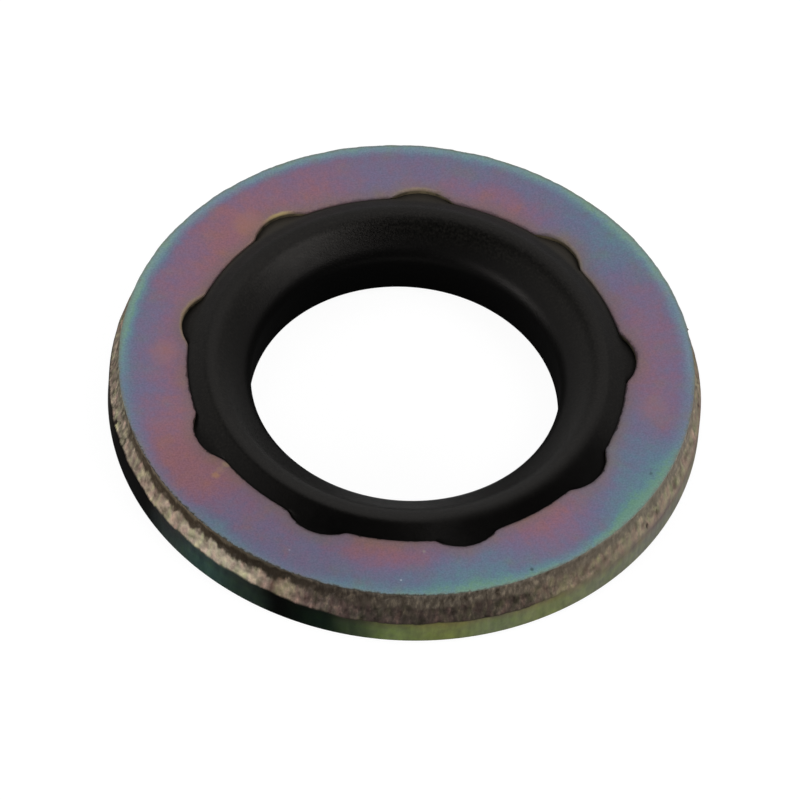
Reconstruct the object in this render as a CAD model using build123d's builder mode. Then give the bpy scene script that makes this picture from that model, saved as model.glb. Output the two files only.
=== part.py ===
from build123d import *
import os

# Bonded sealing washer: a blanked steel ring with a scalloped bore, and a rubber
# lip moulded into that bore. It lies flat on its lower sealing bead, with the
# origin at the centre of the circle that touches the surface, and +Z up the bore.
# All sizes are in millimetres.

# Driving dimensions
outer_diameter = 23.0
steel_thickness = 2.5
clear_bore_diameter = 12.0
bead_proud = 0.3

# Blanked rim of the steel: a smooth land below, above it a break that tapers in, and
# an upright lip where the break ends under the upper face
land_height = 1.17
rim_break = 0.3
lip_height = 0.4
rim_roll = 0.12

# Pierced bore of the steel: a circle with notches that key the rubber
steel_bore_radius = 8.5
notch_count = 9
notch_depth = 0.5
notch_radius = 1.65
notch_round = 0.3
bore_bevel = 0.08

# Rubber lip: a bead above and below, and a bore that opens upwards into a funnel
bead_radius = 7.7
bead_round = 0.45
shoulder_drop = 0.3
shoulder_round = 0.6
lip_rise = 0.35
bond_inset = 0.15
lobe_inset = 0.45

# Levels and radii that follow from them
outer_radius = outer_diameter / 2
clear_bore_radius = clear_bore_diameter / 2
steel_bottom = bead_proud
steel_top = steel_bottom + steel_thickness
overall_height = steel_top + bead_proud
shoulder_level = steel_top - shoulder_drop - shoulder_round
notch_centre_radius = steel_bore_radius + notch_depth - notch_radius


# Outline of the scalloped bore, shared by the pierced steel and the rubber in it
with BuildSketch() as scalloped_bore:
    Circle(steel_bore_radius)
    with PolarLocations(notch_centre_radius, notch_count):
        Circle(notch_radius)
    # the cusps between the bore and its notches lie closest to the axis
    fillet(scalloped_bore.vertices().group_by(SortBy.DISTANCE)[0], notch_round)


# Steel ring: the rim's section is turned round the axis, then the bore is pierced
with BuildPart() as steel_ring:
    with BuildSketch(Plane.XZ) as rim_section:
        with BuildLine():
            Polyline(
                (0, steel_bottom),
                (outer_radius, steel_bottom),
                (outer_radius, steel_bottom + land_height),
                (outer_radius - rim_break, steel_top - lip_height),
                (outer_radius - rim_break, steel_top),
                (0, steel_top),
                close=True,
            )
        make_face()
        lower_corner = rim_section.vertices().group_by(Axis.Y)[0].sort_by(Axis.X)[-1]
        fillet(lower_corner, rim_roll)
    revolve(axis=Axis.Z)
    with BuildSketch(Plane.XY.offset(steel_bottom)):
        add(scalloped_bore.sketch)
    extrude(amount=steel_thickness, mode=Mode.SUBTRACT)
    # the punch came in from above and drew the bore's upper edge down with it
    upper_face = steel_ring.faces().sort_by(Axis.Z)[-1]
    chamfer(upper_face.inner_wires().edges(), bore_bevel)


# Rubber seal: straight flanks join the bonded wall, the two round beads, the round
# shoulder and the bore wall, so the lip's section is the hull of them all, turned
# round the axis. The lobes in the notches stop a little below each steel face.
with BuildPart() as rubber_seal:
    with BuildSketch(Plane.XZ):
        with BuildLine():
            Line(
                (steel_bore_radius, steel_bottom + bond_inset),
                (steel_bore_radius, steel_top - bond_inset),
            )
            Line((clear_bore_radius, lip_rise), (clear_bore_radius, shoulder_level))
        with Locations(
            (bead_radius, bead_round),
            (bead_radius, overall_height - bead_round),
        ):
            Circle(bead_round)
        with Locations((clear_bore_radius + shoulder_round, shoulder_level)):
            Circle(shoulder_round)
        make_hull()
    revolve(axis=Axis.Z)
    with BuildSketch(Plane.XY.offset(steel_bottom + lobe_inset)):
        add(scalloped_bore.sketch)
        Circle(bead_radius, mode=Mode.SUBTRACT)
    extrude(amount=steel_thickness - 2 * lobe_inset)


steel_ring.part.label = "steel_ring"
rubber_seal.part.label = "rubber_seal"

os.makedirs("parts", exist_ok=True)
export_step(steel_ring.part, "parts/steel_ring.step")
export_step(rubber_seal.part, "parts/rubber_seal.step")
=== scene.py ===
import math

import bpy
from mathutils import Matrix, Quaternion, Vector


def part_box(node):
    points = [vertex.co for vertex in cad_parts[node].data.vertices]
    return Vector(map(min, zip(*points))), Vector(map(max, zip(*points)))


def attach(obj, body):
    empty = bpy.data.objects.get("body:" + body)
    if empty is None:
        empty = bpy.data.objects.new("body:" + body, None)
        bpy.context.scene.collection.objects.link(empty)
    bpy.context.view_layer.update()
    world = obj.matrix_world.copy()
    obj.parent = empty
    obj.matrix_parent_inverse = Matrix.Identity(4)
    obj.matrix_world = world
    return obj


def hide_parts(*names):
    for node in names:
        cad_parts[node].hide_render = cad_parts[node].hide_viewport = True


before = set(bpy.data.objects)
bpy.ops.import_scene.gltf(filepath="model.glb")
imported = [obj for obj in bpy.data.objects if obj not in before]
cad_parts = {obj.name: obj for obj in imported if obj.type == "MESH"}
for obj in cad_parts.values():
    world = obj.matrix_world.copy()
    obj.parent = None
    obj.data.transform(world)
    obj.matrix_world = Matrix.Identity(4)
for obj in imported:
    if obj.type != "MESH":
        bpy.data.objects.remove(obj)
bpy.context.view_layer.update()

# Passivated steel ring
# The body of the washer: a flat ring blanked from steel strip, with nine notches pierced round its
# bore to key the rubber. The die burnished the lower part of its rim and tore the upper part away.
# It is zinc plated and passivated, which leaves the iridescent film.
mm = 0.001
ring_low, ring_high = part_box("steel_ring")
rim_radius = ring_high.x
ring_bottom = ring_low.z
ring_top = ring_high.z
face_radius = rim_radius - 0.3 * mm
land_top = ring_bottom + 1.17 * mm
lip_bottom = ring_top - 0.4 * mm
corner_roll = 0.12 * mm
edge_round = 0.04 * mm
bore_radius = 8.5 * mm
bore_draw = 0.08 * mm
notch_count = 9
notch_centre = 7.3 * mm
notch_radius = 1.65 * mm
cusp_blend = 0.08 * mm

# The ring's mesh: the points round it, the share of its pitch that a notch takes up on either side of
# its middle, and how far apart the rows of points lie, closest on the torn band and the edge above
steps_round = 1260
notch_reach = 0.3
bore_row = 0.8 * mm
plain_face_radius = 9.7 * mm
face_row = 0.3 * mm
edge_strip = 0.6 * mm
edge_row = 0.07 * mm
tear_row = 0.05 * mm
tear_foot = 0.015 * mm
land_row = 0.12 * mm
underside_row = 0.6 * mm

# Points nearer than a weld are merged, and levels nearer than a hair count as one
weld = 0.0001 * mm
hair = 0.001 * mm


def deselect_all():
    bpy.ops.object.select_all(action="DESELECT")


def make_active(piece):
    deselect_all()
    piece.select_set(True)
    bpy.context.view_layer.objects.active = piece


def select_points(piece, wanted):
    """Selects, in edit mode, just the points that pass a test."""
    bpy.ops.object.mode_set(mode="EDIT")
    bpy.ops.mesh.select_all(action="DESELECT")
    bpy.ops.object.mode_set(mode="OBJECT")
    for point in piece.data.vertices:
        point.select = wanted(point)
    bpy.ops.object.mode_set(mode="EDIT")


def notch_outline(turn):
    """Distance from the axis to the scalloped bore, at an angle from the middle of a notch."""
    across = notch_centre * math.sin(turn)
    notch = notch_centre * math.cos(turn) + math.sqrt(notch_radius ** 2 - across ** 2)
    return (notch + bore_radius + math.hypot(notch - bore_radius, cusp_blend)) / 2


def start_scalloped_loop(name, level, steps):
    """Adds a loop of points at the bore's radius and presses the nine notches out of it."""
    deselect_all()
    bpy.ops.mesh.primitive_circle_add(vertices=steps, radius=bore_radius, location=(0, 0, level))
    piece = bpy.context.object
    piece.name = name
    bpy.ops.object.transform_apply(location=True, rotation=True, scale=True)
    pitch = steps // notch_count
    from_notch = []
    for point in piece.data.vertices:
        step = round(math.atan2(point.co.y, point.co.x) * steps / (2 * math.pi)) % pitch
        from_notch.append(min(step, pitch - step))
    for distance in range(round(notch_reach * pitch)):
        select_points(piece, lambda point: from_notch[point.index] == distance)
        stretch = notch_outline(distance * 2 * math.pi / steps) / bore_radius
        bpy.ops.transform.resize(value=(stretch, stretch, 1), center_override=(0, 0, 0))
    bpy.ops.mesh.select_all(action="SELECT")
    return piece


def start_round_loop(radius, level, steps):
    """Adds a loop of points to the mesh that is being edited, and leaves only it selected."""
    bpy.ops.mesh.select_all(action="DESELECT")
    bpy.ops.mesh.primitive_circle_add(vertices=steps, radius=radius, location=(0, 0, level))


def draw_loop_along(section):
    """Extrudes the selected loop through each radius and level of a section in turn."""
    radius, level = section[0]
    for next_radius, next_level in section[1:]:
        rise = (0, 0, next_level - level)
        bpy.ops.mesh.extrude_region_move(TRANSFORM_OT_translate={"value": rise})
        stretch = next_radius / radius
        bpy.ops.transform.resize(value=(stretch, stretch, 1), center_override=(0, 0, 0))
        radius, level = next_radius, next_level


def arc(centre, radius, start, end, steps):
    """Radius and level of the points of an arc in the section; its angles are in degrees."""
    turns = [math.radians(start + (end - start) * step / steps) for step in range(steps + 1)]
    return [(centre[0] + radius * math.cos(turn), centre[1] + radius * math.sin(turn)) for turn in turns]


def run_to(section, end, spacing):
    """Adds a straight stretch to a section, with points about a spacing apart."""
    start = Vector(section[-1])
    steps = max(1, round((Vector(end) - start).length / spacing))
    section += [tuple(start.lerp(Vector(end), step / steps)) for step in range(1, steps + 1)]


def bridge_loops(piece, levels, radii):
    """Joins the two open loops that lie between two levels and between two radii."""
    low, high = levels
    near, far = radii

    def in_reach(point):
        return low - hair < point.co.z < high + hair and near - hair < point.co.xy.length < far + hair

    select_points(piece, in_reach)
    bpy.ops.mesh.bridge_edge_loops()


def close_section():
    """Merges what meets, turns the faces outwards and leaves edit mode."""
    bpy.ops.mesh.select_all(action="SELECT")
    bpy.ops.mesh.remove_doubles(threshold=weld)
    bpy.ops.mesh.normals_make_consistent(inside=False)
    bpy.ops.mesh.select_all(action="DESELECT")
    bpy.ops.object.mode_set(mode="OBJECT")


def make_ring():
    ring = start_scalloped_loop("passivated_ring", ring_bottom, steps_round)
    bore_section = [(bore_radius, ring_bottom)]
    run_to(bore_section, (bore_radius, ring_top - bore_draw), bore_row)
    draw_centre = (bore_radius + bore_draw, ring_top - bore_draw)
    bore_section += arc(draw_centre, bore_draw, 180, 90, 3)[1:]
    draw_loop_along(bore_section)

    start_round_loop(plain_face_radius, ring_top, steps_round)
    rim_section = [(plain_face_radius, ring_top)]
    run_to(rim_section, (face_radius - edge_strip, ring_top), face_row)
    run_to(rim_section, (face_radius - edge_round, ring_top), edge_row)
    rim_section += arc((face_radius - edge_round, ring_top - edge_round), edge_round, 90, 0, 3)[1:]
    run_to(rim_section, (face_radius, lip_bottom), tear_row)
    run_to(rim_section, (rim_radius - tear_foot, land_top + tear_row), tear_row)
    run_to(rim_section, (rim_radius, land_top), tear_row)
    run_to(rim_section, (rim_radius, ring_bottom + corner_roll), land_row)
    roll_centre = (rim_radius - corner_roll, ring_bottom + corner_roll)
    rim_section += arc(roll_centre, corner_roll, 0, -90, 4)[1:]
    run_to(rim_section, (plain_face_radius, ring_bottom), underside_row)
    draw_loop_along(rim_section)

    for level in (ring_bottom, ring_top):
        bridge_loops(ring, (level, level), (bore_radius, plain_face_radius))
    close_section()
    return ring


def weigh(piece, name, share):
    """Makes a vertex group in which each point has the share that its radius, level and azimuth give."""
    group = piece.vertex_groups.new(name=name)
    for point in piece.data.vertices:
        azimuth = math.degrees(math.atan2(point.co.y, point.co.x)) % 360
        weight = share(point.co.xy.length, point.co.z, azimuth)
        if weight > 0:
            group.add([point.index], weight, "REPLACE")


def swell(value, start, peak, end):
    """Rises smoothly from 0 at the start to 1 at the peak, and falls back to 0 at the end."""
    if not start < value < end:
        return 0
    share = (value - start) / (peak - start) if value < peak else (end - value) / (end - peak)
    return share * share * (3 - 2 * share)


def rough_up(piece, name, size, depth, direction="NORMAL", stretch=1, middle=0, contrast=2):
    """Pushes the points of the vertex group of this name by cloudy noise, for good.

    size is the grain of the noise and depth is its reach. stretch draws the grain out upwards.
    """
    clouds = bpy.data.textures.new(name, "CLOUDS")
    clouds.noise_scale = 1
    clouds.noise_depth = 3
    clouds.contrast = contrast
    bpy.ops.object.empty_add()
    grain = bpy.context.object
    grain.scale = (size, size, size * stretch)
    make_active(piece)
    push = piece.modifiers.new(name, "DISPLACE")
    push.texture = clouds
    push.texture_coords = "OBJECT"
    push.texture_coords_object = grain
    push.vertex_group = name
    push.direction = direction
    push.mid_level = middle
    push.strength = depth
    bpy.context.view_layer.update()
    bpy.ops.object.modifier_apply(modifier=name)
    bpy.data.objects.remove(grain)


def on_rim(start, peak, end):
    """A share that swells between levels of the rim and is the same all round it."""
    past_edge = face_radius - 0.01 * mm
    return lambda radius, level, azimuth: swell(level, start, peak, end) if radius > past_edge else 0


ridge_height = on_rim(land_top, land_top + 0.2 * mm, ring_top + 0.3 * mm)
ridges_lost = 0.75


def ridges(radius, level, azimuth):
    """Share of the tear's upright ridges, which are mostly lost on two stretches of the rim."""
    left = 1 - ridges_lost * swell(azimuth, 184, 218, 252)
    right = 1 - ridges_lost * swell(azimuth, 284, 322, 360)
    return ridge_height(radius, level, azimuth) * left * right


def edge_wear(radius, level, azimuth):
    """Share of the wear on the upper edge of the rim."""
    return swell(radius, face_radius - 0.2 * mm, face_radius, rim_radius) if level > lip_bottom else 0


def tear_rim(ring):
    """Breaks up the sheared band of the rim and the two lines that bound it."""
    note = ring.data.attributes.new(name="level as cut", type="FLOAT", domain="POINT")
    note.data.foreach_set("value", [point.co.z / mm for point in ring.data.vertices])
    weigh(ring, "lip wander", on_rim(land_top + 0.3 * mm, lip_bottom, ring_top))
    weigh(ring, "land wander", on_rim(land_top - 0.5 * mm, land_top, lip_bottom))
    weigh(ring, "tear lumps", on_rim(land_top, land_top + 0.4 * mm, ring_top + 0.5 * mm))
    weigh(ring, "tear ridges", ridges)
    weigh(ring, "edge wear", edge_wear)
    rough_up(ring, "lip wander", 0.5 * mm, 0.4 * mm, "Z", stretch=4, middle=0.5)
    rough_up(ring, "land wander", 0.9 * mm, 0.14 * mm, "Z", stretch=4, middle=0.5)
    rough_up(ring, "edge wear", 0.8 * mm, -0.03 * mm)
    rough_up(ring, "edge wear", 0.3 * mm, -0.02 * mm)
    rough_up(ring, "tear lumps", 0.35 * mm, -0.06 * mm, stretch=2)
    rough_up(ring, "tear ridges", 0.1 * mm, -0.045 * mm, stretch=5, contrast=3)


def fill_inputs(tree, node, inputs):
    """Connects each input of a shader node to another node's output, or sets its value."""
    for name, value in inputs.items():
        if isinstance(value, bpy.types.NodeSocket):
            tree.links.new(value, node.inputs[name])
        else:
            node.inputs[name].default_value = value


def add_node(tree, kind, inputs=None, **settings):
    """Adds a shader node, sets it up and fills its inputs."""
    made = tree.nodes.new("ShaderNode" + kind)
    for name, value in settings.items():
        setattr(made, name, value)
    fill_inputs(tree, made, inputs or {})
    return made


def calc(tree, operation, first, second=0.0, third=0.0):
    return add_node(tree, "Math", {0: first, 1: second, 2: third}, operation=operation).outputs[0]


def times(tree, first, second):
    return calc(tree, "MULTIPLY", first, second)


def distance_to(tree, place, spot):
    return add_node(tree, "VectorMath", {0: place, 1: spot}, operation="DISTANCE").outputs["Value"]


def ramp(tree, value, stops, interpolation="LINEAR"):
    """A colour ramp through the given places, from 0 to 1, and their colours."""
    made = add_node(tree, "ValToRGB", {"Fac": value})
    made.color_ramp.interpolation = interpolation
    points = made.color_ramp.elements
    while len(points) < len(stops):
        points.new(0.5)
    for point, (place, colour) in zip(points, sorted(stops)):
        point.position = place
        point.color = colour
    return made.outputs["Color"]


def paint(red, green, blue):
    """A colour named by its usual 0 to 255 values, as the linear ones that a shader takes."""
    shares = [value / 255 for value in (red, green, blue)]
    linear = [share / 12.92 if share < 0.04 else ((share + 0.055) / 1.055) ** 2.4 for share in shares]
    return (*linear, 1)


white = (1, 1, 1, 1)


def start_material(name):
    """A new material, with the place of a point in millimetres to build its patterns on."""
    material = bpy.data.materials.new(name)
    material.use_nodes = True
    tree = material.node_tree
    place = add_node(tree, "TexCoord").outputs["Object"]
    place = add_node(tree, "VectorMath", {0: place, "Scale": 1 / mm}, operation="SCALE").outputs[0]
    return material, tree, tree.nodes["Principled BSDF"], place


def radius_of(tree, place):
    flat = add_node(tree, "VectorMath", {0: place, 1: (1, 1, 0)}, operation="MULTIPLY").outputs[0]
    return add_node(tree, "VectorMath", {0: flat}, operation="LENGTH").outputs["Value"]


def azimuth_of(tree, place):
    """How far round the axis a point lies, from 0 to 1, starting and ending at +Y."""
    apart = add_node(tree, "SeparateXYZ", {0: place})
    turn = calc(tree, "ARCTAN2", apart.outputs["X"], times(tree, apart.outputs["Y"], -1.0))
    return calc(tree, "MULTIPLY_ADD", turn, 1 / (2 * math.pi), 0.5)


def noise(tree, place, scale, detail=2.0, roughness=0.5):
    grain = {"Vector": place, "Scale": scale, "Detail": detail, "Roughness": roughness}
    return add_node(tree, "TexNoise", grain).outputs["Fac"]


def shift(tree, value, pattern, reach):
    """Moves a value up and down by a pattern that runs from 0 to 1, by half its reach each way."""
    return calc(tree, "ADD", value, calc(tree, "MULTIPLY_ADD", pattern, reach, -reach / 2))


def rise_from(tree, value, start, end):
    """Rises smoothly from 0 to 1 while the value goes from start to end."""
    span = {"Value": value, "From Min": start, "From Max": end}
    return add_node(tree, "MapRange", span, interpolation_type="SMOOTHSTEP").outputs["Result"]


def between(tree, share, first, second):
    """Goes from the first value to the second while the share goes from 0 to 1."""
    return add_node(tree, "Mix", {0: share, 2: first, 3: second}, data_type="FLOAT").outputs[0]


def blend(tree, share, first, second, mode="MIX"):
    """Lays the second colour on the first, by the share and in the mode given."""
    layers = {0: share, 6: first, 7: second}
    return add_node(tree, "Mix", layers, data_type="RGBA", blend_type=mode).outputs[2]


def tint(tree, colour, by):
    """Multiplies a colour by another, where 1 leaves it as it is."""
    return blend(tree, 1.0, colour, by, "MULTIPLY")


def factors_by_pattern(tree, pattern, stops):
    """Factors for red, green and blue that change with a pattern."""
    return ramp(tree, pattern, [(place, (*factors, 1)) for place, factors in stops])


def tint_by_pattern(tree, colour, pattern, stops):
    """Multiplies a colour by factors that change with a pattern."""
    return tint(tree, colour, factors_by_pattern(tree, pattern, stops))


def bumps(tree, height, strength, depth):
    """Small bumps for a shader's normal; the depth is what a height of 1 stands for."""
    return add_node(tree, "Bump", {"Height": height, "Strength": strength, "Distance": depth}).outputs[0]


def round_the_ring(tree, turn, stops):
    """A colour that changes round the ring, from stops of an azimuth in degrees and a colour."""
    places = [((azimuth - 90) % 360 / 360, colour) for azimuth, colour in stops]
    first = min(places)
    return ramp(tree, turn, [*places, (1, first[1])], "EASE")


def share_round_the_ring(tree, turn, stops):
    """A share from 0 to 1 that changes round the ring, from stops of an azimuth and a share."""
    return round_the_ring(tree, turn, [(azimuth, (share, share, share, 1)) for azimuth, share in stops])


# Radius in millimetres of the circle on which the streaks are as wide as their scale says
streak_circle = 11.0


def outward_streaks(tree, place, radius, scale, run):
    """Noise drawn out along the radius; run is how fast it changes that way, against round."""
    apart = add_node(tree, "SeparateXYZ", {0: place})
    across = add_node(tree, "CombineXYZ", {"X": apart.outputs["X"], "Y": apart.outputs["Y"]}).outputs[0]
    heading = add_node(tree, "VectorMath", {0: across}, operation="NORMALIZE").outputs[0]
    on_circle = {0: heading, "Scale": streak_circle}
    round_rim = add_node(tree, "VectorMath", on_circle, operation="SCALE").outputs[0]
    out = add_node(tree, "CombineXYZ", {"Z": times(tree, radius, run)}).outputs[0]
    where = add_node(tree, "VectorMath", {0: round_rim, 1: out}, operation="ADD").outputs[0]
    return noise(tree, where, scale, 3)


# How far the film has gone from rose (0) to green (1), round the ring: azimuth in degrees, then near
# the bore, half way out and at the rim. It bloomed in plumes that run outwards.
film_plumes = (
    (12, 0.32, 0.36, 0.62), (34, 0.62, 0.72, 0.80), (60, 0.24, 0.52, 0.72), (91, 0.46, 0.46, 0.64),
    (107, 0.22, 0.29, 0.70), (130, 0.11, 0.18, 0.60), (146, 0.20, 0.32, 0.72), (163, 0.30, 0.50, 0.95),
    (181, 0.24, 0.44, 0.70), (203, 0.08, 0.07, 0.34), (212, 0.14, 0.12, 0.38), (222, 0.31, 0.42, 0.68),
    (240, 0.46, 0.48, 0.55), (257, 0.16, 0.58, 0.76), (280, 0.50, 0.77, 0.95), (302, 0.16, 0.40, 0.80),
    (316, 0.48, 0.78, 1.05), (329, 0.62, 0.80, 0.92), (342, 0.50, 0.36, 0.52), (353, 0.26, 0.38, 0.58),
)

# The film's colours on the way from rose to green
film_colours = (
    (0.0, paint(143, 99, 104)), (0.15, paint(138, 99, 110)), (0.30, paint(127, 100, 121)),
    (0.45, paint(114, 104, 129)), (0.60, paint(105, 109, 132)), (0.75, paint(97, 118, 135)),
    (0.88, paint(94, 129, 134)), (1.0, paint(100, 140, 120)),
)

# Colours that lie over the film
pale_bloom = paint(148, 162, 170)
thin_film = paint(122, 104, 98)
chafed_edge = paint(112, 117, 108)
frayed_edge = paint(52, 44, 36)
# painted shade on the steel beside the rubber
shade_by_rubber = paint(22, 20, 17)
rubber_flash = paint(20, 18, 15)
# painted highlight: a straw glint on the edges of some notches
painted_straw_glint = paint(168, 150, 98)

# Distances from the axis, in millimetres, between which each change in the face's finish takes place:
# to the film half way out, to the film at the rim, to its bloom, and to the chafed and frayed edge
half_way_out = (9.1, 10.4)
far_out = (10.35, 11.1)
blooming = (10.55, 11.2)
chafing = (11.0, 11.2)
fraying = (11.1, 11.17)

# Pits, specks and spots of tarnish on the face: azimuth, distance from the axis and size in
# millimetres, strength and colour
face_marks = (
    (290.5, 10.85, 0.12, 0.6, paint(34, 44, 48)), (327.0, 10.6, 0.1, 0.5, paint(44, 54, 60)),
    (263.0, 10.45, 0.07, 0.6, paint(170, 180, 190)), (238.0, 10.2, 0.06, 0.6, paint(150, 150, 168)),
    (210.2, 8.65, 0.22, 0.5, paint(150, 128, 98)), (210.8, 8.95, 0.22, 0.4, paint(152, 120, 98)),
    (211.5, 9.25, 0.24, 0.55, paint(162, 124, 86)), (268.4, 9.05, 0.10, 0.5, paint(152, 146, 138)),
    (172.0, 9.4, 0.8, 0.35, paint(156, 108, 100)), (126.0, 9.4, 0.8, 0.35, paint(160, 118, 96)),
    (345.0, 9.6, 0.8, 0.3, paint(150, 108, 104)),
)


def off_the_bore(tree, turn, radius):
    """Distance in millimetres from the edge of the scalloped bore."""
    # the turn starts at +Y and a notch lies at +X, so this puts a notch half way along each pitch
    along_pitch = calc(tree, "FRACT", calc(tree, "MULTIPLY_ADD", turn, notch_count, 0.75))
    folded = calc(tree, "SUBTRACT", along_pitch, 0.5)
    from_notch = times(tree, folded, 2 * math.pi / notch_count)
    along = times(tree, radius, calc(tree, "COSINE", from_notch))
    beside = times(tree, radius, calc(tree, "SINE", from_notch))
    past_centre = calc(tree, "SUBTRACT", along, notch_centre / mm)
    spot = add_node(tree, "CombineXYZ", {"X": past_centre, "Y": beside})
    to_centre = add_node(tree, "VectorMath", {0: spot.outputs[0]}, operation="LENGTH").outputs["Value"]
    off_notch = calc(tree, "SUBTRACT", to_centre, notch_radius / mm)
    off_circle = calc(tree, "SUBTRACT", radius, bore_radius / mm)
    return calc(tree, "SMOOTH_MIN", off_notch, off_circle, 0.1)


def film_stage(tree, place, radius, turn, streaks, edge_bloom):
    """How far the film has gone from rose to green, with its plumes, streaks and clouds."""
    inner, middle, outer = (
        share_round_the_ring(tree, turn, [(plume[0], plume[stage]) for plume in film_plumes])
        for stage in (1, 2, 3)
    )
    wavy_radius = shift(tree, shift(tree, radius, streaks, 0.5), noise(tree, place, 0.6, 2), 0.8)
    film = between(tree, rise_from(tree, wavy_radius, *half_way_out), inner, middle)
    film = between(tree, rise_from(tree, wavy_radius, *far_out), film, outer)
    film = calc(tree, "MULTIPLY_ADD", edge_bloom, 0.28, film)
    film = shift(tree, film, outward_streaks(tree, place, radius, 2.2, 0.25), 0.24)
    film = shift(tree, film, noise(tree, place, 1.7, 2), 0.22)
    return shift(tree, film, noise(tree, place, 6, 3), 0.26)


def filmed_steel(tree, place, radius, turn, near_bore):
    """Colour of the plated face under its film, which is thin by the bore and chafed by the rim."""
    streaks = outward_streaks(tree, place, radius, 0.9, 0.3)
    chafed_radius = shift(tree, radius, noise(tree, place, 5, 3, 0.6), 0.3)
    where_bloomed = share_round_the_ring(tree, turn, [
        (0, 0.7), (30, 1.0), (150, 1.0), (170, 0.6), (185, 0.2), (345, 0.3),
    ])
    edge_bloom = times(tree, where_bloomed, rise_from(tree, chafed_radius, *blooming))
    colour = ramp(tree, film_stage(tree, place, radius, turn, streaks, edge_bloom), film_colours)
    colour = blend(tree, times(tree, edge_bloom, 0.4), colour, pale_bloom)
    thin = rise_from(tree, shift(tree, near_bore, streaks, 0.4), 0.75, 0.0)
    colour = blend(tree, times(tree, thin, 0.6), colour, thin_film)
    chafed = rise_from(tree, chafed_radius, *chafing)
    colour = blend(tree, times(tree, chafed, 0.75), colour, chafed_edge)
    colour = tint_by_pattern(tree, colour, noise(tree, place, 1.1, 3), [
        (0.32, (1.03, 1.03, 0.9)), (0.45, (1, 1, 1)), (0.66, (0.98, 0.98, 1.05)),
    ])
    colour = tint(tree, colour, share_round_the_ring(tree, turn, [
        (188, 1.0), (208, 0.88), (244, 0.86), (262, 0.94), (280, 1.0),
    ]))
    frayed_radius = shift(tree, radius, noise(tree, place, 5, 5, 0.65), 0.34)
    where_frayed = share_round_the_ring(tree, turn, [
        (186, 0.0), (198, 0.8), (262, 0.8), (290, 0.3), (320, 0.0),
    ])
    frayed = times(tree, rise_from(tree, frayed_radius, *fraying), where_frayed)
    return blend(tree, frayed, colour, frayed_edge)


def lay_rubber_shade_and_flash(tree, place, turn, near_bore, colour):
    """Lays a soft painted shade round the bore beside the rubber, strongest on the front, and the thin,
    ragged flash of the moulding.
    """
    # painted shade along the bore, where the steel meets the rubber
    rubber_shade = rise_from(tree, shift(tree, near_bore, noise(tree, place, 2.5, 3), 0.12), 0.22, -0.05)
    rubber_shade = times(tree, rubber_shade, share_round_the_ring(tree, turn, [
        (0, 0.4), (25, 0.25), (60, 0.2), (120, 0.1), (160, 0.25), (200, 0.4), (245, 0.7), (320, 0.65),
    ]))
    colour = blend(tree, rubber_shade, colour, shade_by_rubber)
    flash = rise_from(tree, shift(tree, near_bore, noise(tree, place, 3.5, 4, 0.6), 0.36), 0.07, 0.03)
    flash = times(tree, flash, share_round_the_ring(tree, turn, [
        (0, 0.4), (20, 0.2), (160, 0.2), (190, 0.8), (330, 0.8), (345, 0.6),
    ]))
    return blend(tree, flash, colour, rubber_flash)


def paint_notch_edge_glints(tree, place, turn, near_bore, colour):
    """Paints glints of straw along the edge of some notches: painted highlights where the edge catches
    the light.
    """
    edge_glint = rise_from(tree, shift(tree, near_bore, noise(tree, place, 4, 3), 0.1), 0.18, 0.06)
    where_glinting = share_round_the_ring(tree, turn, [
        (10, 0.0), (36, 0.2), (50, 0.0), (72, 0.0), (82, 0.3), (92, 0.0), (113, 0.0), (118, 0.8),
        (124, 0.1), (148, 0.0), (156, 0.35), (165, 0.3), (172, 0.0), (340, 0.0),
    ])
    return blend(tree, times(tree, edge_glint, where_glinting), colour, painted_straw_glint)


def add_face_marks(tree, place, colour):
    """Adds the pits, specks and spots of tarnish."""
    for azimuth, distance, size, strength, mark in face_marks:
        turned = math.radians(azimuth)
        spot = (distance * math.cos(turned), distance * math.sin(turned), ring_top / mm)
        ragged = shift(tree, distance_to(tree, place, spot), noise(tree, place, 1 / size, 3), size)
        share = times(tree, rise_from(tree, ragged, size, size / 4), strength)
        colour = blend(tree, share, colour, mark)
    return colour


def passivated_face():
    """Satin zinc under a thin film that goes from rose at the bore to green at the rim."""
    material, tree, shader, place = start_material("passivated face")
    radius = radius_of(tree, place)
    true_turn = azimuth_of(tree, place)
    turn = shift(tree, true_turn, noise(tree, place, 0.5), 0.02)
    near_bore = off_the_bore(tree, true_turn, radius)
    mottle = noise(tree, place, 14, 2)
    colour = filmed_steel(tree, place, radius, turn, near_bore)
    colour = tint_by_pattern(tree, colour, mottle, [
        (0.3, (0.86, 0.87, 0.88)), (0.7, (1.14, 1.13, 1.12)),
    ])
    colour = lay_rubber_shade_and_flash(tree, place, turn, near_bore, colour)
    colour = paint_notch_edge_glints(tree, place, true_turn, near_bore, colour)
    fill_inputs(tree, shader, {
        "Base Color": add_face_marks(tree, place, colour),
        "Metallic": 0.35,
        "Specular IOR Level": 0.2,
        "Roughness": shift(tree, 0.44, noise(tree, place, 1.4, 4), 0.16),
        "Normal": bumps(tree, mottle, 0.25, 0.01 * mm),
    })
    return material


def pierced_bore():
    """The walls of the bore and its notches: thinly plated and straw coloured."""
    material, tree, shader, place = start_material("pierced bore")
    fill_inputs(tree, shader, {
        "Base Color": ramp(tree, noise(tree, place, 3, 3), [
            (0.3, paint(58, 52, 42)), (0.7, paint(98, 88, 68)),
        ]),
        "Metallic": 0.15,
        "Roughness": 0.5,
    })
    return material
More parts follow.
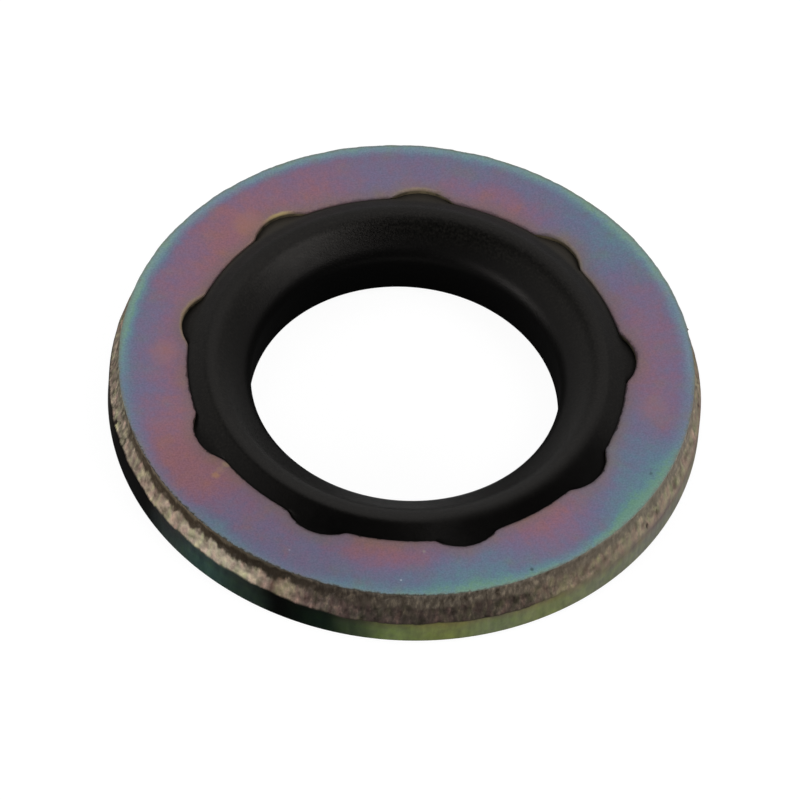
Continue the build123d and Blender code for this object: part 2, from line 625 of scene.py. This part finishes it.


# Colours of the three bands of the rim, each at its azimuth in degrees. Besides the stain they hold
# painted reflections of shade: the land is painted black on the left and the torn band dark brown on
# the front.
lip_colours = (
    (90, paint(118, 110, 96)), (180, paint(114, 108, 94)), (196, paint(80, 70, 58)),
    (215, paint(70, 60, 48)), (235, paint(52, 45, 36)), (250, paint(62, 54, 46)),
    (270, paint(86, 78, 68)), (295, paint(102, 92, 80)), (320, paint(120, 112, 98)),
    (345, paint(140, 130, 118)),
)
torn_colour_and_reflection = (
    (90, paint(130, 122, 106)), (190, paint(138, 127, 113)), (205, paint(142, 128, 113)),
    (228, paint(158, 148, 132)), (236, paint(138, 126, 112)), (238, paint(64, 50, 42)),
    (240, paint(150, 136, 116)), (243, paint(98, 86, 78)), (256, paint(68, 60, 54)),
    (272, paint(62, 54, 48)), (284, paint(74, 66, 58)), (300, paint(122, 110, 94)),
    (320, paint(142, 132, 114)), (345, paint(152, 142, 124)),
)
land_stain_and_reflection = (
    (90, paint(124, 120, 104)), (160, paint(104, 100, 88)), (176, paint(50, 48, 42)),
    (188, paint(10, 9, 8)), (204, paint(12, 12, 12)), (212, paint(50, 58, 55)),
    (222, paint(50, 72, 66)), (232, paint(38, 50, 43)), (239, paint(4, 5, 4)),
    (249, paint(16, 28, 20)), (254, paint(50, 60, 42)), (262, paint(100, 112, 70)),
    (272, paint(112, 118, 70)), (282, paint(110, 119, 86)), (293, paint(122, 128, 88)),
    (306, paint(126, 130, 106)), (322, paint(134, 134, 122)), (345, paint(160, 154, 134)),
)
crack_brown = paint(40, 30, 26)
seam_brown = paint(30, 26, 20)

# Stretches of the rim, by azimuth: where the tear is coarse, where it is smoother, and where the top
# of the land dips, with the depth of the dip in millimetres
coarse_stretch = ((188, 0.0), (203, 1.0), (236, 1.0), (250, 0.0))
smooth_stretch = ((10, 0.0), (284, 0.0), (308, 1.0), (345, 1.0))
dipped_stretch = ((236, 0.0), (256, 1.0), (288, 1.0), (306, 0.0))
dip = 0.15

# Levels of the rim in millimetres: where the tear meets the lip, between which levels the lip turns
# pale under the edge of the face, and between which the land turns brown under the tear
lip_line = 2.16
lip_pales = (2.54, 2.72)
land_browns = (0.95, 1.4)


def torn_steel(tree, place, drawn, fibres, turn, coarse, smooth):
    """Colour of the torn band: bright upright grain, lumps where it is coarse, cracks, and a painted
    reflection of shade on the front.
    """
    # painted reflection of shade darkens this band on the front
    colour = round_the_ring(tree, turn, torn_colour_and_reflection)
    fine_grain = factors_by_pattern(tree, fibres, [
        (0.3, (0.34, 0.31, 0.28)), (0.42, (0.76, 0.74, 0.74)), (0.55, (1.04, 1.03, 1.02)),
        (0.68, (1.9, 1.84, 1.76)),
    ])
    lumps = factors_by_pattern(tree, noise(tree, place, 3.6, 3), [
        (0.3, (0.5, 0.46, 0.42)), (0.42, (0.95, 0.93, 0.9)), (0.6, (1.2, 1.18, 1.15)),
        (0.72, (1.6, 1.57, 1.52)),
    ])
    grain = blend(tree, times(tree, coarse, 0.75), fine_grain, lumps)
    colour = tint(tree, colour, blend(tree, times(tree, smooth, 0.6), grain, white))
    colour = tint_by_pattern(tree, colour, noise(tree, place, 2.4, 3), [
        (0.32, (0.6, 0.58, 0.56)), (0.5, (1, 1, 1)), (0.68, (1.4, 1.36, 1.28)),
    ])
    colour = tint_by_pattern(tree, colour, noise(tree, drawn, 3.2, 2), [
        (0.3, (1.12, 0.94, 1.02)), (0.5, (1, 1, 1)), (0.7, (0.92, 1.06, 0.86)),
    ])
    cracks = rise_from(tree, noise(tree, drawn, 1.5, 3), 0.34, 0.27)
    return blend(tree, cracks, colour, crack_brown)


def chipped_lip(tree, drawn, fibres, level, turn, coarse, smooth):
    """Colour of the lip over the tear: chipped, darker where the tear is coarse, and pale on top."""
    plain = round_the_ring(tree, turn, lip_colours)
    chipped = tint_by_pattern(tree, plain, noise(tree, drawn, 6, 5, 0.65), [
        (0.32, (0.35, 0.32, 0.28)), (0.44, (0.8, 0.78, 0.76)), (0.54, (1.05, 1.05, 1.05)),
        (0.66, (1.9, 1.9, 1.8)),
    ])
    chipped = blend(tree, times(tree, smooth, 0.6), chipped, plain)
    dark = tint(tree, plain, (0.66, 0.6, 0.52, 1))
    lip = blend(tree, times(tree, coarse, 0.7), chipped, dark)
    brighter = blend(tree, coarse, (1.35, 1.42, 1.5, 1), (2.8, 3.1, 3.4, 1))
    near_edge = rise_from(tree, shift(tree, level, fibres, 0.2), *lip_pales)
    return blend(tree, near_edge, lip, tint(tree, lip, brighter))


def burnished_land(tree, place, drawn, fibres, level, turn):
    """Colour of the land: stained, painted black where it mirrors shade on the left, smeared by the die,
    browner under the tear.
    """
    # painted reflection of shade makes the land black on the left
    colour = round_the_ring(tree, turn, land_stain_and_reflection)
    colour = tint_by_pattern(tree, colour, noise(tree, drawn, 4, 5, 0.6), [
        (0.3, (0.8, 0.82, 0.82)), (0.7, (1.24, 1.22, 1.2)),
    ])
    colour = tint_by_pattern(tree, colour, noise(tree, place, 2.6, 4, 0.6), [
        (0.3, (0.86, 0.82, 0.95)), (0.5, (1, 1, 1)), (0.7, (1.1, 1.16, 0.9)),
    ])
    by_tear = rise_from(tree, shift(tree, level, fibres, 0.3), *land_browns)
    return blend(tree, by_tear, colour, tint(tree, colour, (0.96, 0.78, 0.84, 1)))


def sheared_rim():
    """The blanked edge: a dark lip, a torn band with bright grain, and a burnished, stained land, with
    painted reflections of shade on the front and left.
    """
    material, tree, shader, place = start_material("sheared rim")
    level = add_node(tree, "Attribute", attribute_name="level as cut").outputs["Fac"]
    turn = shift(tree, azimuth_of(tree, place), noise(tree, place, 0.8), 0.008)
    drawn = add_node(tree, "VectorMath", {0: place, 1: (1, 1, 0.3)}, operation="MULTIPLY").outputs[0]
    fibres = noise(tree, drawn, 5, 4, 0.6)
    coarse, smooth, dipped = (
        share_round_the_ring(tree, turn, stretch)
        for stretch in (coarse_stretch, smooth_stretch, dipped_stretch)
    )

    torn = torn_steel(tree, place, drawn, fibres, turn, coarse, smooth)
    lip = chipped_lip(tree, drawn, fibres, level, turn, coarse, smooth)
    wandering_line = shift(tree, shift(tree, lip_line, fibres, 0.35), noise(tree, place, 1.6, 3), 0.5)
    on_lip = rise_from(tree, calc(tree, "SUBTRACT", level, wandering_line), -0.12, 0.14)
    band = blend(tree, on_lip, torn, lip)

    over_land = calc(tree, "MULTIPLY_ADD", dipped, dip, shift(tree, level, fibres, 0.1))
    over_land = calc(tree, "SUBTRACT", over_land, land_top / mm)
    sharp = rise_from(tree, over_land, 0.02, 0.12)
    soft = rise_from(tree, over_land, -0.1, 0.3)
    on_band = between(tree, smooth, sharp, soft)

    # a dark crack runs along the top of the land, in patches, and all along the dip
    off_seam = calc(tree, "ABSOLUTE", calc(tree, "SUBTRACT", over_land, 0.04))
    patches = rise_from(tree, noise(tree, place, 1.3, 3), 0.35, 0.65)
    where_cracked = calc(tree, "MAXIMUM", patches, times(tree, dipped, 0.8))
    seam = times(tree, rise_from(tree, off_seam, 0.12, 0.02), where_cracked)
    seam = times(tree, seam, calc(tree, "MULTIPLY_ADD", smooth, -0.7, 0.8))
    band = blend(tree, seam, band, seam_brown)

    land = burnished_land(tree, place, drawn, fibres, level, turn)
    rough = calc(tree, "MULTIPLY_ADD", on_band, 0.18, 0.36)
    depth = times(tree, noise(tree, drawn, 11, 3, 0.6), calc(tree, "MULTIPLY_ADD", on_band, 0.85, 0.15))
    depth = times(tree, depth, calc(tree, "MULTIPLY_ADD", smooth, -0.6, 1.0))
    fill_inputs(tree, shader, {
        "Base Color": blend(tree, on_band, land, band),
        "Metallic": 0.45,
        "Roughness": shift(tree, rough, fibres, 0.2),
        "Normal": bumps(tree, depth, 0.6, 0.05 * mm),
    })
    return material


# Where the finish of the rim starts, outwards and upwards, and between which levels the bore's lies
rim_starts = face_radius - 0.03 * mm
rim_foot = ring_bottom + 0.02 * mm
bore_foot = ring_bottom + 0.005 * mm
bore_head = ring_top - bore_draw


def choose_finishes(ring):
    """Gives the rim and the walls of the bore their own finishes, and the rest that of the face."""
    for finish in (passivated_face(), pierced_bore(), sheared_rim()):
        ring.data.materials.append(finish)
    face, bore, rim = range(3)
    for polygon in ring.data.polygons:
        level = polygon.center.z
        if polygon.center.xy.length > rim_starts and level > rim_foot:
            polygon.material_index = rim
        elif bore_foot < level < bore_head:
            polygon.material_index = bore
        else:
            polygon.material_index = face


ring = make_ring()
choose_finishes(ring)
tear_rim(ring)
make_active(ring)
bpy.ops.object.shade_smooth_by_angle(angle=math.radians(50))
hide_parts("steel_ring")
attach(ring, "root")

# Rubber seal
# A nitrile rubber lip moulded on to the bore of the ring, which it grips through the notches. It
# stands a little proud of the steel above and below, and its bore opens upwards into a funnel.
seal_low, seal_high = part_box("rubber_seal")
clear_radius = 6 * mm
bead_round = 0.45 * mm
bead_radius = 7.7 * mm
crest_round = 1.2 * mm
crest = (bead_radius, seal_high.z - crest_round)
upper_bead = (bead_radius, seal_high.z - bead_round)
lower_bead = (bead_radius, seal_low.z + bead_round)
shoulder_round = 0.75 * mm
shoulder = (clear_radius + shoulder_round, 1.82 * mm)
lip_foot = (clear_radius, 0.35 * mm)
bond_top = ring_top - 0.08 * mm
bond_bottom = ring_bottom + 0.15 * mm
lobe_top = ring_top - 0.24 * mm
lobe_bottom = ring_bottom + 0.45 * mm

# The seal's mesh: the points round it, and how far apart the rows lie on its straight stretches
rubber_steps = 1080
flank_row = 0.12 * mm
funnel_row = 0.15 * mm
bore_wall_row = 0.2 * mm
foot_row = 0.25 * mm


def angle_to(centre, point):
    return math.degrees(math.atan2(point[1] - centre[1], point[0] - centre[0]))


def touch_angle(centre, radius, point):
    """Where a line from a point touches the far side of a circle, as an angle round it in degrees."""
    away = math.dist(centre, point)
    return angle_to(centre, point) + math.degrees(math.acos(radius / away))


def make_seal():
    seal = start_scalloped_loop("rubber_lip", lobe_bottom, rubber_steps)
    draw_loop_along([(bore_radius, lobe_bottom), (bore_radius, lobe_top)])

    shrink = (shoulder_round - crest_round) / math.dist(shoulder, crest)
    funnel_turn = angle_to(shoulder, crest) + math.degrees(math.acos(shrink))
    flank_turn = touch_angle(upper_bead, bead_round, (bore_radius, bond_top))
    foot_turn = touch_angle(lower_bead, bead_round, lip_foot) % 360
    section = [(bore_radius, bond_top)]
    bead = arc(upper_bead, bead_round, flank_turn, 90, 7)
    run_to(section, bead[0], flank_row)
    section += bead[1:]
    section += arc(crest, crest_round, 90, funnel_turn, 7)[1:]
    turn_in = arc(shoulder, shoulder_round, funnel_turn, 180, 9)
    run_to(section, turn_in[0], funnel_row)
    section += turn_in[1:]
    run_to(section, lip_foot, bore_wall_row)
    foot = arc(lower_bead, bead_round, foot_turn, 360 - flank_turn, 8)
    run_to(section, foot[0], foot_row)
    section += foot[1:]
    run_to(section, (bore_radius, bond_bottom), bore_wall_row)
    start_round_loop(*section[0], rubber_steps)
    draw_loop_along(section)

    for levels in ((lobe_top, bond_top), (bond_bottom, lobe_bottom)):
        bridge_loops(seal, levels, (bore_radius, rim_radius))
    close_section()
    return seal


# Colours of the rubber's mottled skin, of the painted light on the far lobes, and of the painted shade
# on the near flank and in the bore
skin_colours = ((0.35, paint(1, 1, 1)), (0.5, paint(5, 5, 4)), (0.66, paint(17, 16, 14)))
painted_lobe_light = paint(46, 43, 38)
painted_flank_shade = paint(0, 0, 0)
painted_bore_shade = paint(2, 2, 2)

# Distances from the axis, in millimetres, between which the painted light on the lobes, the outer flank
# of the lip and the painted shade of the bore set in
lobe_light_sets_in = (8.2, 8.55)
flank_sets_in = (bead_radius / mm - 0.3, bead_radius / mm + 0.4)
bore_sets_in = (7.0, 6.2)


def moulded_rubber():
    """Black nitrile, matt with a dull sheen, and the fine skin of the mould."""
    material, tree, shader, place = start_material("moulded rubber")
    radius = radius_of(tree, place)
    turn = azimuth_of(tree, place)
    flank = rise_from(tree, radius, *flank_sets_in)
    in_bore = rise_from(tree, radius, *bore_sets_in)

    colour = ramp(tree, noise(tree, place, 10, 4, 0.7), skin_colours)
    # painted light: the lobes on the far side are painted lighter, as if lit
    lit_lobes = share_round_the_ring(tree, turn, [(8, 0.0), (34, 1.0), (138, 1.0), (158, 0.1), (172, 0.0)])
    lit_lobes = times(tree, lit_lobes, rise_from(tree, radius, *lobe_light_sets_in))
    colour = blend(tree, lit_lobes, colour, painted_lobe_light)
    # painted shade: the outer flank on the front is painted black
    shaded_front = share_round_the_ring(tree, turn, [(195, 0.0), (235, 1.0), (318, 1.0), (345, 0.0)])
    colour = blend(tree, times(tree, flank, shaded_front), colour, painted_flank_shade)
    # painted shade: the bore is painted darkest
    colour = blend(tree, in_bore, colour, painted_bore_shade)

    worn = share_round_the_ring(tree, turn, [
        (20, 0.23), (150, 0.23), (200, 0.12), (245, 0.0), (266, 0.1), (284, 0.9), (300, 1.0), (322, 0.8),
        (345, 0.2),
    ])
    rough = calc(tree, "MULTIPLY_ADD", times(tree, flank, worn), 0.67, 0.33)
    rough = calc(tree, "ADD", rough, times(tree, in_bore, 0.12))
    fill_inputs(tree, shader, {
        "Base Color": colour,
        "Roughness": shift(tree, rough, noise(tree, place, 2.5, 4), 0.12),
        "Specular IOR Level": 0.25,
        "Specular Tint": (1.0, 0.94, 0.9, 1),
        "Normal": bumps(tree, noise(tree, place, 12, 4, 0.6), 0.6, 0.015 * mm),
    })
    return material


seal = make_seal()
seal.data.materials.append(moulded_rubber())
make_active(seal)
bpy.ops.object.shade_smooth_by_angle(angle=math.radians(40))
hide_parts("rubber_seal")
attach(seal, "root")

# Floor and background
# A plain white table, which keeps the washer's shadow, and white all round it.
table_width = 0.8
deselect_all()
bpy.ops.mesh.primitive_plane_add(size=table_width, location=(0, 0, seal_low.z))
floor = bpy.context.object
floor.name = "floor"
table = bpy.data.materials.new("white table")
table.use_nodes = True
tree = table.node_tree
tree.nodes.remove(tree.nodes["Principled BSDF"])
rays = add_node(tree, "LightPath")
matt = add_node(tree, "BsdfDiffuse", {"Color": paint(200, 200, 200)})
bright = add_node(tree, "Emission", {"Color": white, "Strength": 1.15})
mostly = times(tree, rays.outputs["Is Camera Ray"], 0.8)
seen = add_node(tree, "MixShader", {0: mostly, 1: matt.outputs[0], 2: bright.outputs[0]})

# What the washer mirrors of the table: dark round it, brighter far behind it and under its hole
spot = add_node(tree, "TexCoord").outputs["Object"]
behind = add_node(tree, "SeparateXYZ", {0: spot}).outputs["Y"]
far_white = calc(tree, "MULTIPLY_ADD", rise_from(tree, behind, 0.02, 0.25), 0.5, 0.025)
under_hole = rise_from(tree, distance_to(tree, spot, (0, -0.003, 0)), 0.005, 0.002)
brightness = calc(tree, "MULTIPLY_ADD", under_hole, 0.7, far_white)
mirrored = add_node(tree, "Emission", {"Color": white, "Strength": brightness})
shown = add_node(tree, "MixShader", {
    0: rays.outputs["Is Glossy Ray"], 1: seen.outputs[0], 2: mirrored.outputs[0],
})

# From below the table is clear, so that the underside can be seen
from_below = add_node(tree, "NewGeometry").outputs["Backfacing"]
clear = add_node(tree, "BsdfTransparent")
sided = add_node(tree, "MixShader", {0: from_below, 1: shown.outputs[0], 2: clear.outputs[0]})
tree.links.new(sided.outputs[0], tree.nodes["Material Output"].inputs["Surface"])
floor.data.materials.append(table)

world = bpy.data.worlds.new("studio")
bpy.context.scene.world = world
world.use_nodes = True
tree = world.node_tree
fill = tree.nodes["Background"]
fill_inputs(tree, fill, {"Color": white, "Strength": 0.45})

# What the washer mirrors of the studio: a dark room with a glow on the backdrop, more at its foot, on
# either side, more on the left, and in one place overhead
towards = add_node(tree, "TexCoord").outputs["Generated"]
apart = add_node(tree, "SeparateXYZ", {0: towards})
sideways, back, up = (apart.outputs[axis] for axis in "XYZ")
behind = rise_from(tree, back, 0.1, 0.95)
backdrop = times(tree, behind, rise_from(tree, up, 0.95, 0.5))
backdrop_foot = times(tree, behind, rise_from(tree, up, 0.25, 0.0))
raised = rise_from(tree, up, 0.2, 0.5)
sides = times(tree, rise_from(tree, calc(tree, "ABSOLUTE", sideways), 0.4, 0.8), raised)
left_side = times(tree, rise_from(tree, sideways, -0.4, -0.8), raised)
overhead = rise_from(tree, distance_to(tree, towards, (0.33, 0.22, 0.92)), 0.4, 0.1)
mirrored = 0.03
for glow, strength in (
    (backdrop, 0.5), (backdrop_foot, 0.35), (sides, 0.3), (left_side, 0.25), (overhead, 0.6),
):
    mirrored = calc(tree, "MULTIPLY_ADD", glow, strength, mirrored)
rays = add_node(tree, "LightPath")
brightness = calc(tree, "MAXIMUM", rays.outputs["Is Camera Ray"], mirrored)
shown = add_node(tree, "Background", {"Color": white, "Strength": brightness})
direct = calc(tree, "MAXIMUM", rays.outputs["Is Camera Ray"], rays.outputs["Is Glossy Ray"])
mixed = add_node(tree, "MixShader", {0: direct, 1: fill.outputs[0], 2: shown.outputs[0]})
tree.links.new(mixed.outputs[0], tree.nodes["World Output"].inputs["Surface"])

# Lamps
# A large softbox behind the washer, which its face mirrors; a small one on either side, high on the
# right and low on the left, for glints on the rubber; and two low ones in front that light the rim.
lamp_distance = 0.6


def direction(azimuth, elevation):
    """Unit vector towards a place on the sky; azimuth 0 is -Y and 90 is +X."""
    turn, rise = math.radians(azimuth), math.radians(elevation)
    return Vector((math.sin(turn) * math.cos(rise), -math.cos(turn) * math.cos(rise), math.sin(rise)))


def hang_softbox(name, azimuth, elevation, size, brightness):
    """A square lamp; brightness is what a mirror would show of it, with 1 as white."""
    deselect_all()
    away = direction(azimuth, elevation)
    bpy.ops.object.light_add(type="AREA", location=lamp_distance * away)
    lamp = bpy.context.object
    lamp.name = name
    lamp.rotation_euler = away.to_track_quat("Z", "Y").to_euler()
    lamp.data.shape = "SQUARE"
    lamp.data.size = size
    lamp.data.energy = brightness * math.pi * size ** 2
    return lamp


camera_azimuth = -9.4
hang_softbox("back softbox", camera_azimuth + 180, 56, 0.5, 0.65)
hang_softbox("right softbox", 73, 54, 0.25, 2.9)
hang_softbox("left softbox", -76, 13, 0.3, 3.5)
for name, aside in (("left rim light", -52), ("right rim light", 52)):
    rim_light = hang_softbox(name, camera_azimuth + aside, 15, 0.3, 10)
    rim_light.visible_glossy = False

# Camera
# A long lens looks down on the washer from the front, a little from the left, and is rolled a little.
camera_distance = 621 * mm
camera_elevation = 51.3
camera_roll = 4.65
camera_aim = Vector((-0.17, -0.03, 0.83)) * mm
bpy.ops.object.camera_add()
camera = bpy.context.object
camera.name = "camera"
camera.data.lens = 720
camera.data.sensor_width = 36
backwards = direction(camera_azimuth, camera_elevation)
camera.location = camera_aim + camera_distance * backwards
upright = backwards.to_track_quat("Z", "Y")
camera.rotation_mode = "QUATERNION"
camera.rotation_quaternion = upright @ Quaternion((0, 0, 1), math.radians(camera_roll))
camera.data.clip_start = 0.01
camera.data.clip_end = 5
bpy.context.scene.camera = camera
bpy.context.scene.view_settings.view_transform = "Standard"
